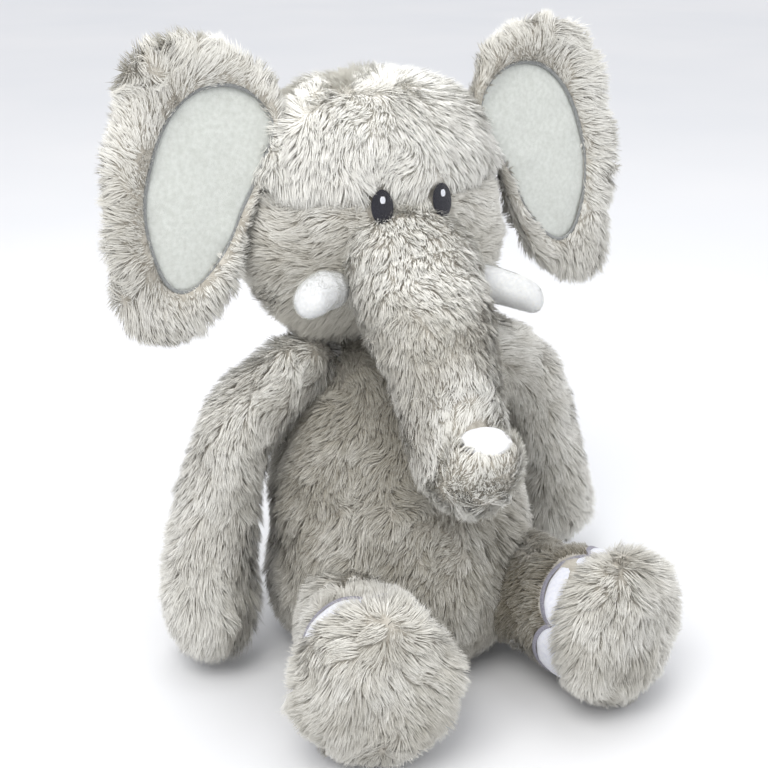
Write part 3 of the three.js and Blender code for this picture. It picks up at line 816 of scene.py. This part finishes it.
# x, y in the ear's own plane, from its root
EAR_OUTLINE = [[-17, 50], [-2, 76], [18, 86], [40, 87], [62, 77], [73, 44], [78, 8], [80, -38], [74, -64],
               [54, -71], [26, -56], [8, -22], [-2, 8], [-12, 30]]
EAR_LINING = [[32, 59], [13, 63], [-4, 56], [-13, 40], [-5, 20], [6, 0], [19, -25], [38, -43],
              [52, -38], [60, -12], [59, 12], [48, 42]]


def closed_spline(points, count):
    """Points evenly round a smooth loop through the points."""
    points = np.asarray(points, float)
    wrapped = np.vstack([points[-2:], points, points[:3]])
    dense = spline(wrapped, count * 8)
    first = np.argmin(norm(dense - points[0], axis=1)[:count * 4])
    rest = dense[first:]
    last = first + np.argmin(norm(rest[count * 3:] - points[0], axis=1)) + count * 3
    loop = dense[first:last]
    step = lengths_along(loop)
    return resampled(loop, step, np.linspace(0, step[-1], count, endpoint=False))


def ear_basis(sign):
    """The ear's root, and its directions outward, up and to the front."""
    low, high, out = np.array([76, 5, 267.0]), np.array([56, 9, 321.0]), np.array([157, 7.5, 270.0])
    normal = unit(np.cross(out - low, high - low))
    front = normal if normal[1] < 0 else -normal
    right = unit(np.cross((0, 0, 1.0), front))
    right = right if right[0] > 0 else -right
    up = np.cross(front, right)
    flip = np.array([sign, 1, 1])
    return low * flip, right * flip, up * flip, front * flip


def add_ear(side, shades, skin, velour, thread):
    count = 120
    outline, lining = closed_spline(EAR_OUTLINE, count), closed_spline(EAR_LINING, count)
    middle = lining.mean(axis=0)

    def from_top(loop):
        """The loop from its point beside the middle, so that two loops join without a twist."""
        bearing = np.arctan2(*(loop - middle).T)
        return np.roll(loop, -int(np.argmin(np.abs(bearing))), axis=0)

    def turning(loop):
        return np.sign(np.cross(loop[1] - loop[0], loop[2] - loop[0]))

    outline, lining = from_top(outline), from_top(lining)
    if turning(outline) != turning(lining):
        lining = np.roll(lining[::-1], 1, axis=0)

    sign = SIDES[side]
    low, right, up, front = ear_basis(sign)

    def place(loop, height):
        return low + np.outer(loop[:, 0], right) + np.outer(loop[:, 1], up) + height * front

    def flat(points):
        off = points - low
        return np.column_stack([off @ right, off @ up])

    def gap(points, every=3):
        """How far each point lies from the lining's edge."""
        return np.min(norm(flat(points)[:, None] - lining[None, ::every], axis=2), axis=1)

    # the front border, the rim, and the back as far as its middle
    rings = [place(lining, 3.2)]
    for t in np.linspace(0.05, 0.9, 10):
        loop = lining * (1 - t) + outline * t
        rings.append(place(loop, 3.2 + 4.2 * np.sin(pi * (0.15 + 0.85 * t))))
    for a in np.linspace(60, -60, 7):
        pull = 2.2 * (1 - cos(radians(a)))
        loop = middle + (outline - middle) * (1 - (3.0 + pull) / 70)
        rings.append(place(loop, -0.5 + 3.4 * sin(radians(a))))
    back = len(rings) - 6
    for t in np.linspace(0.1, 0.95, 12):
        rings.append(place(outline * (1 - t) + middle * t, -3.6 - 3.2 * sin(pi * t / 1.9)))
    centre = low + right * middle[0] + up * middle[1]
    surface = grid_surface(rings, None, centre - front * 7)
    if (surface.normals()[back * count:] @ front).sum() > 0:
        surface = surface.turned()
    surface = folds(surface, 0.9, 18, 22 if sign > 0 else 60)
    piece = object_of(f"{side}_ear_skin", surface, [skin])

    def comb(roots, normals):
        """Away from the middle, and a little down where the border is wide."""
        lie = unit(flat(roots) - middle)
        free = smooth(gap(roots), 6, 24)[:, None]
        lie = lie * (1 - free) + (lie * (0.9, 0.8) + (0.1, -0.25)) * free
        return np.outer(lie[:, 0], right) + np.outer(lie[:, 1], up)

    def keep(roots, normals):
        return (depth_in_head(roots) < 3) & ((gap(roots, 2) > 1.3) | (normals @ front < 0))

    def spread(roots):
        return 0.45 + 0.65 * smooth(gap(roots), 1, 12)

    pile = fur(f"{side}_ear_fur", surface, shades, comb, seed=30 + sign, keep=keep, tone=0.55,
               length=10, lift=0.38, spread=spread, wild=0.38)
    # the velour lining: a slack sheet with soft wrinkles
    rings = []
    for t in (0.0, 0.03, 0.08, 0.16, 0.26, 0.38, 0.5, 0.62, 0.74, 0.86, 0.95):
        height = 3.4 + 1.6 * sin(pi * min(t * 2.2, 1) / 2)
        rings.append(place(lining * (1 - t) + middle * t, height))
    sheet = grid_surface(rings, None, centre + front * 5.0)
    if (sheet.normals() @ front).sum() < 0:
        sheet = sheet.turned()
    a, b = flat(sheet.points).T
    wave = 0.7 * np.sin((a * 0.8 + b * 0.6) / 9 + noise(sheet.points, 30)[:, 0] * 2) * smooth(30 - a, 0, 30)
    wave = wave + 0.5 * noise(sheet.points, 12)[:, 1]
    sheet = sheet.moved(np.outer(wave, front))
    panel = object_of(f"{side}_ear_velour", sheet, [velour])
    # stitches round the lining's edge
    dense = closed_spline(lining[::3], 420)
    along = unit(np.roll(dense, -1, axis=0) - dense)
    tangents = np.outer(along[:, 0], right) + np.outer(along[:, 1], up)
    across = unit(unit(np.cross(tangents, front)) + tangents * 0.25)
    outs = np.tile(front, (len(dense), 1))
    stitch = satin(f"{side}_ear_stitch", place(dense, 4.4), across, outs, 2.2, 0.95, 1.2, thread)
    body = f"{side}_ear"
    root = low + (right * -4 + up * 27)
    for each in (piece, *pile, panel, stitch):
        tuple(row(root - right * 10))
        tuple(row(root + right * 12))
        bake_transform(each)
    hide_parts(f"{body}_back_panel", f"{body}_front_border", f"{body}_wadding")
    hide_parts(f"{body}_lining")
    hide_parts(f"{body}_piping")


# ---- Arms, legs and tail ----

def rotation(axis, degrees):
    """The matrix of a turn about x, y or z, given as 0, 1 or 2."""
    c, s = cos(radians(degrees)), sin(radians(degrees))
    i, j = (axis + 1) % 3, (axis + 2) % 3
    matrix = np.eye(3)
    matrix[[i, j], [i, j]] = c
    matrix[i, j], matrix[j, i] = -s, s
    return matrix


# x, y, z of each place down the arm from the shoulder, and the arm's radius there
ARM = np.array([[-24, 0, 14, 9], [-17, 0, 10, 16], [-9, 0, 5, 20.5], [0, 0, 0, 22], [30, -1, -22, 21.5],
                [42, -3, -45, 21.5], [47, -4, -67, 22.5], [55, -9, -105, 25], [57, -12, -127, 26],
                [57.5, -14, -141, 22], [57.5, -15, -149, 13]], float)


def add_arm(side, shades, skin):
    sign = SIDES[side]
    back, out = (9, -5) if side == "left" else (0, 0)
    turn = rotation(0, back) @ rotation(1, out)
    dense = spline(ARM, 60)
    centres = (turn @ dense[:, :3].T).T * (sign, 1, 1) + SHOULDER[side]
    tangents = unit(np.gradient(centres, axis=0))
    u = unit(np.cross(tangents, (0.0, 1, 0)))
    v = np.cross(tangents, u)
    radius = dense[:, 3] - SKIN
    surface = oriented(tube(centres, u, v, radius * 0.97, radius * 1.03, 44))
    surface = folds(folds(surface, 1.4, 22, 31 * sign), 0.6, 9, 8)
    surface = stuffed(surface, lambda p: (p[:, 2] > 160) | (np.abs(surface.normals()[:, 1]) > 0.97), 2.5)
    piece = object_of(f"{side}_arm_skin", surface, [skin])
    inner = unit(np.array([-sign * 0.75, -0.65, 0]))

    def comb(roots, normals):
        return tangents[nearest_on(centres, roots, 4)]

    # Painted light and shade on the arm's pile: the far (left) arm lighter than the near one, darker on the
    # side that faces the body and on the underside.
    def tone(roots, normals):
        own = 0.35 if side == "right" else 0.8
        return own - 0.8 * smooth(normals @ inner, 0.3, 0.9) - 0.6 * smooth(-normals[:, 2], 0.2, 0.9)

    def ridge(roots):
        """Longer pile round the paw, and standing in a ridge along its inner seam."""
        facing = unit(roots - centres[nearest_on(centres, roots, 4)]) @ inner
        paw = smooth(150 - roots[:, 2], 30, 90)
        return 1 + 0.3 * smooth(facing, 0.9, 0.99) * paw + 0.2 * paw

    pile = fur(f"{side}_arm_fur", surface, shades, comb, seed=40 + sign, tone=tone, length=10, spread=ridge,
               keep=lambda p, n: depth_in_torso(p) < 9)
    for each in (piece, *pile):
        tuple(row(centres[0] - tangents[0] * 4))
        tuple(row(centres[22]))
        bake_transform(each)
    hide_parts(f"{side}_arm_cover", f"{side}_arm_filling")


# the way along the leg from the hip, and the radius there
LEG = np.array([[-30, 12], [-20, 25], [-8, 31.5], [0, 33], [20, 33.6], [42, 37.5], [58, 38.5]], float)
SOLE = np.array([[52, 36.5], [58.4, 39], [61, 40.5], [67, 43], [74, 42.5], [81, 38], [87, 26],
                 [89.5, 10]], float)
NAIL_SPAN = radians(150)  # how far round from the top the toenails reach on each side


def scallop(share):
    """How far along the leg the toenails' back edge lies, at each share of NAIL_SPAN."""
    return 54 - 14 * np.abs(np.sin((share + 1) * 2 * pi)) ** 0.5


def add_leg(side, leg_shades, shades, skin, felt, thread):
    sign = SIDES[side]
    turn = rotation(2, 17.5) @ rotation(0, 86)
    angle = circle(64)
    hip = HIP[side]
    left = side == "left"

    def direction(local):
        return (turn @ np.asarray(local, float).T).T * (sign, 1, 1)

    def place(radius, bearing, s):
        """Points of a ring round the leg; bearing is measured from the top."""
        return direction(np.column_stack([radius * np.sin(bearing), radius * np.cos(bearing), s])) + hip

    def lathe(profile, count, *ends):
        rings = [place(max(r - SKIN, 2), angle, np.full(64, s)) for s, r in spline(profile, count)]
        start, end = (direction([[0, 0, s]])[0] + hip for s in ends)
        return oriented(grid_surface(rings, start, end))

    sideways, top, forward = (direction([axis])[0] for axis in np.eye(3))

    def along(points):
        return (points - hip) @ forward

    def high_and_wide(points):
        off = points - hip
        return off @ top, off @ sideways

    leg = folds(folds(lathe(LEG, 34, -31, 57), 1.3, 20, 17 * sign), 0.6, 9, 2)
    leg = stuffed(leg, lambda p: (along(p) < -10) | (along(p) > 52), 2.0)
    leg_skin = object_of(f"{side}_leg_skin", leg, [skin], floor=CLOTH_GROUND)

    def leg_keep(roots, normals):
        high, wide = high_and_wide(roots)
        bearing = np.degrees(np.abs(np.arctan2(wide, high)))
        nail = (bearing < 150) & (along(roots) > scallop(bearing / 150) - 2.5)
        return (depth_in_torso(roots) < 9) & ~nail & (along(roots) < 58) & (roots[:, 2] >= 3)

    # Painted light and shade on the leg's pile: the far (left) leg darker than the near one, and lighter
    # where the pile faces up. It is also darker near the floor.
    def leg_tone(roots, normals):
        return (-1.0 if left else -0.3) + 0.6 * normals[:, 2] - 0.8 * smooth(25 - roots[:, 2], 0, 25)

    lie = -forward * 0.25 + (0, 0, -1.0)
    leg_fur = fur(f"{side}_leg_fur", leg, leg_shades, lambda p, n: np.tile(lie, (len(p), 1)),
                  seed=60 + sign, keep=leg_keep, tone=leg_tone, length=7.5 if left else 8.5)

    sole = folds(folds(lathe(SOLE, 30, 50, 90 - SKIN), 1.6, 24, 5 * sign + 90), 0.7, 9, 4)
    sole = stuffed(sole, lambda p: along(p) < 60, 2.0)
    sole_skin = object_of(f"{side}_sole_skin", sole, [skin], floor=CLOTH_GROUND)

    def sole_comb(roots, normals):
        """Down over the sole, fanning out a little, and back over the rim at the top."""
        high, wide = high_and_wide(roots)
        rim = smooth(80 - along(roots), 0, 14)
        back = np.where(high > 0, 0.5 if left else 1.4, 0.6) * (1 - 0.8 * smooth(wide, 6, 22))
        return np.outer(wide / 60, sideways) + (0, 0, -1.0) - np.outer(rim * back, forward)

    def sole_spread(roots):
        """Short under the foot, and long over the toenails at the top of the rim."""
        high, wide = high_and_wide(roots)
        over = smooth(high, 14, 34) * smooth(76 - along(roots), 0, 12) * (1 - smooth(wide, 6, 22))
        return 0.7 + 0.3 * smooth(high, -40, -8) + (0.05 if left else 0.45) * over

    # Painted shade: the near (right) sole's pile a step darker than the far one's.
    sole_fur = fur(f"{side}_sole_fur", sole, shades, sole_comb, seed=70 + sign, tone=0.0 if left else -0.7,
                   keep=lambda p, n: (along(p) > 57.5) & (p[:, 2] >= 3), length=11.5, wild=0.36, tuft=6.0,
                   spread=sole_spread)

    # toenails: a scalloped strip of felt, with satin stitch along its back edge
    bearings = np.radians(np.linspace(-150, 150, 181))
    back_edge = scallop(bearings / NAIL_SPAN)
    rings = []
    for t in np.linspace(0, 1, 9):
        s = back_edge * (1 - t) + 59 * t
        rise = 0.6 + 0.9 * sin(pi * min(t * 1.4, 1)) - (2.2 if t in (0.0, 1.0) else 0)
        rings.append(place(np.interp(s, LEG[:, 0], LEG[:, 1]) - 1.8 + rise, bearings, s))
    nail = grid_surface(rings, closed=False)
    if (nail.normals() * (nail.points - hip - np.outer(along(nail.points), forward))).sum() < 0:
        nail = nail.turned()
    nails = object_of(f"{side}_toenail_felt", folds(nail, 0.25, 7), [felt], floor=CLOTH_GROUND)
    fine = np.radians(np.linspace(-150, 150, 300))
    s = scallop(fine / NAIL_SPAN)
    centres = place(np.interp(s, LEG[:, 0], LEG[:, 1]) - 1.0, fine, s)
    step = lengths_along(centres)
    centres = resampled(centres, step, np.arange(0, step[-1], 0.95))
    outs = unit(centres - hip - np.outer(along(centres), forward))
    tangents = unit(np.gradient(centres, axis=0))
    across = unit(np.cross(tangents, outs))
    stitch = satin(f"{side}_toenail_stitch", centres, across, outs, 2.6, 1.0, 0.9, thread)

    start, end = hip + forward * -22, hip + forward * 14
    for each in (leg_skin, *leg_fur):
        tuple(row(start))
        tuple(row(end))
        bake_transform(each)
    for each in (sole_skin, *sole_fur, nails, stitch):
        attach(each, f"{side}_leg")
    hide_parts(f"{side}_leg_cover", f"{side}_leg_filling", f"{side}_foot_bean_bag")
    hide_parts(f"{side}_sole_pad")
    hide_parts(f"{side}_toenails")
    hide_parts(f"{side}_toenail_stitching")


def add_tail(shades, skin):
    dense = spline(np.array([[0, 50, 48, 8], [0, 58, 45, 7.5], [0, 66, 37, 5.6], [0, 72, 25, 4.8],
                             [0, 74, 16, 4.6], [0, 74.5, 12, 3]], float), 40)
    centres = dense[:, :3]
    tangents = unit(np.gradient(centres, axis=0))
    u = np.tile((1.0, 0, 0), (40, 1))
    surface = oriented(tube(centres, u, np.cross(tangents, u), dense[:, 3], dense[:, 3], 20))
    piece = object_of("tail_skin", surface, [skin])

    def comb(roots, normals):
        return tangents[nearest_on(centres, roots)]

    pile = fur("tail_fur", surface, shades, comb, spacing=0.8, length=7, seed=80, lift=0.45,
               keep=lambda p, n: depth_in_torso(p) < 6, clump=0.3)
    tuft = fur("tail_tuft_fur", surface, shades, comb, spacing=0.35, length=14, seed=81, lift=0.3, tone=-0.4,
               keep=lambda p, n: p[:, 2] < 24, clump=0.35)
    for each in (piece, *pile, *tuft):
        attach(each, "tail")
    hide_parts("tail_cover")
    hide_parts("tail_tuft")


# ---- Assembly ----

add_camera()
add_world()
add_light("key", -55, 55, 1.4, 0.8, 11.5, (1.0, 0.985, 0.965))
add_light("fill", 30, 35, 1.5, 1.1, 2.5, (0.96, 0.98, 1.0))
add_light("top", 150, 75, 1.3, 0.9, 5.5)
add_floor(cloth("pale_floor", (222, 222, 222), (217, 218, 219), 2.0, 0.0, 0.6, sheen=0.0, detail=2))

body_shades = shade_set("body_pile", 0.0)
# a darker copy of the body's pile for the torso: painted shade over the chest and belly
shaded_torso_shades = shade_set("torso_pile", -0.35)
# a darker copy of the body's pile for the far (left) leg: painted shade
far_leg_shaded_shades = shade_set("leg_pile", -0.9)
light_shades = shade_set("ear_pile", 0.14)
crown_shades = shade_set("crown_pile", 0.62)
nap_shades = shade_set("nap", 0.86)
backing = cloth("backing", (196, 191, 180), (158, 152, 140), 180, 0.9)
crown_backing = cloth("crown_backing", (222, 219, 210), (198, 194, 184), 180, 0.9)
velour = cloth("lining_velour", (211, 214, 208), (197, 200, 193), 420, 0.8, 0.92, 0.4)
fleece = cloth("tusk_fleece", (243, 244, 243), (230, 232, 233), 600, 0.9, 0.95, 0.5)
felt = cloth("white_felt", (240, 241, 246), (226, 228, 238), 500, 0.7, 0.92, 0.3)
disc_felt = cloth("disc_felt", (244, 245, 246), (232, 233, 236), 500, 0.7, 0.92, 0.3)
edge_thread = cloth("edge_thread", (168, 166, 176), (138, 136, 148), 900, 0.6, 0.45, 0.2)
lining_thread = cloth("lining_thread", (160, 162, 160), (136, 138, 138), 900, 0.6, 0.5, 0.2)
eye_thread = cloth("eye_thread", (58, 58, 66), (34, 34, 40), 1400, 0.7, 0.4, 0.15)
shine_thread = cloth("shine_thread", (244, 245, 248), (226, 228, 234), 1400, 0.5, 0.45, 0.2)

add_torso(shaded_torso_shades, backing)
add_head(body_shades, crown_shades, backing, crown_backing)
# the trunk's tip takes the ears' lighter shades, as painted light over the curl
add_trunk(body_shades, light_shades, backing, disc_felt)
for side in SIDES:
    add_eye(side, eye_thread, shine_thread)
for side in SIDES:
    add_tusk(side, fleece, nap_shades)
for side in SIDES:
    add_ear(side, light_shades, backing, velour, lining_thread)
for side in SIDES:
    add_arm(side, body_shades, backing)
# the far (left) leg's pile is the darker copy: painted shade
for side, leg_shades in (("left", far_leg_shaded_shades), ("right", body_shades)):
    add_leg(side, leg_shades, body_shades, backing, felt, edge_thread)
add_tail(body_shades, backing)
